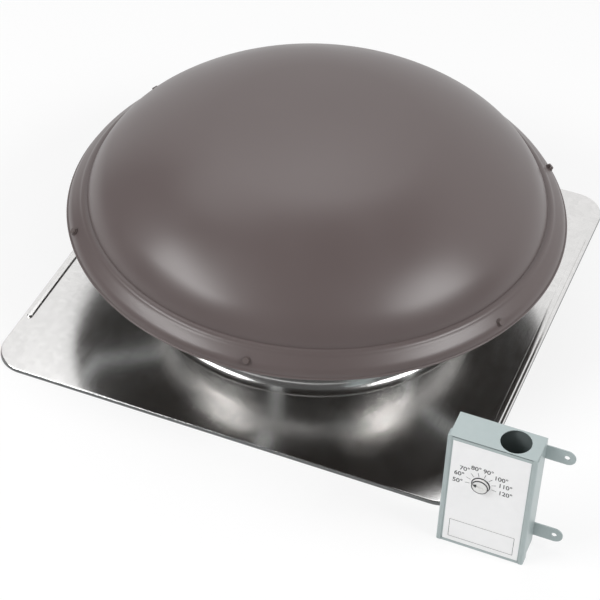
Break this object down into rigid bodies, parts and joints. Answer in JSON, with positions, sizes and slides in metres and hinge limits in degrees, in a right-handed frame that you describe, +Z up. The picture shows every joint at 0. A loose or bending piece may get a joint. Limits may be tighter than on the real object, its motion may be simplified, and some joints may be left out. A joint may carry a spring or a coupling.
{
  "type": "power attic ventilator",
  "caption": "Round-domed roof ventilator: square galvanised flashing with a drawn throat, motor-driven axial fan under a spun dome, and a separate adjustable thermostat box.",
  "frame": {"origin": "middle of the flashing's underside, where it lies on the roof deck", "axes": "+Z up out of the roof along the fan's axis, +Y towards the ridge, +X to the right seen from the eaves"},
  "size_m": [0.7344, 0.6651, 0.252],
  "materials": {
    "galvanised_sheet": "hot-dip galvanised sheet, bright",
    "dome_paint": "semi-matt weathered-brown paint",
    "screw_steel": "zinc plated",
    "screen_wire": "galvanised wire",
    "grommet_rubber": "matt",
    "motor_casting": "die cast",
    "motor_paint": "satin black",
    "lamination_steel": "stacked sheets",
    "copper_winding": "enamelled copper wire",
    "bearing_steel": "ground",
    "ground_steel": "ground",
    "zinc_steel": "zinc plated, satin",
    "fan_aluminium": "mill finish",
    "label_film": "printed film",
    "turned_brass": "turned",
    "dial_plastic": "moulded",
    "switch_phenolic": "moulded phenolic",
    "bimetal": "rolled strip"
  },
  "bodies": {
    "housing": {"flashing": "galvanised_sheet", "dome": "dome_paint", "dome_bracket_1": "galvanised_sheet", "dome_bracket_2": "galvanised_sheet", "dome_bracket_3": "galvanised_sheet", "dome_bracket_4": "galvanised_sheet", "dome_bracket_5": "galvanised_sheet", "dome_bracket_6": "galvanised_sheet", "dome_screws": "screw_steel", "bracket_rivets": "screw_steel", "bird_screen": "screen_wire", "motor_arm_1": "galvanised_sheet", "motor_arm_2": "galvanised_sheet", "motor_arm_3": "galvanised_sheet", "arm_rivets": "screw_steel", "motor_grommets": "grommet_rubber", "motor_bolts": "screw_steel", "motor_cap_screws": "screw_steel", "motor_lower_cap": "motor_casting", "motor_upper_cap": "motor_casting", "motor_shell": "motor_paint", "stator_core": "lamination_steel", "stator_windings": "copper_winding", "lower_bearing": "bearing_steel", "upper_bearing": "bearing_steel", "thermostat_box": "zinc_steel", "thermostat_cover": "zinc_steel", "label_plate": "label_film", "spindle_bush": "turned_brass", "switch_body": "switch_phenolic", "bimetal_strip": "bimetal", "switch_terminals": "turned_brass", "terminal_screws": "turned_brass"},
    "fan": {"rotor_core": "lamination_steel", "motor_shaft": "ground_steel", "fan_blade_1": "fan_aluminium", "fan_blade_2": "fan_aluminium", "fan_blade_3": "fan_aluminium", "fan_blade_4": "fan_aluminium", "fan_spider": "zinc_steel", "fan_hub": "zinc_steel", "hub_set_screw": "screw_steel", "blade_rivets": "fan_aluminium"},
    "dial": {"dial": "dial_plastic", "dial_spindle": "turned_brass", "spindle_clip": "screw_steel"},
    "range_nut": {"range_nut": "turned_brass"}
  },
  "joints": [
    {"name": "fan_spin", "type": "hinge", "parent": "housing", "child": "fan", "pos_m": [0, 0, 0.067], "axis": [0, 0, 1], "continuous": true},
    {"name": "dial_turn", "type": "hinge", "parent": "housing", "child": "dial", "pos_m": [0.332, -0.35, 0.105], "axis": [0, 1, 0], "range_deg": [-18, 178]},
    {"name": "nut_travel", "type": "slide", "parent": "housing", "child": "range_nut", "axis": [0, 1, 0], "range_m": [-0.0001, 0.0007]}
  ],
  "couplings": [
    {"joint": "nut_travel", "follows": "dial_turn", "m_per_rad": 0.00019894}
  ]
}
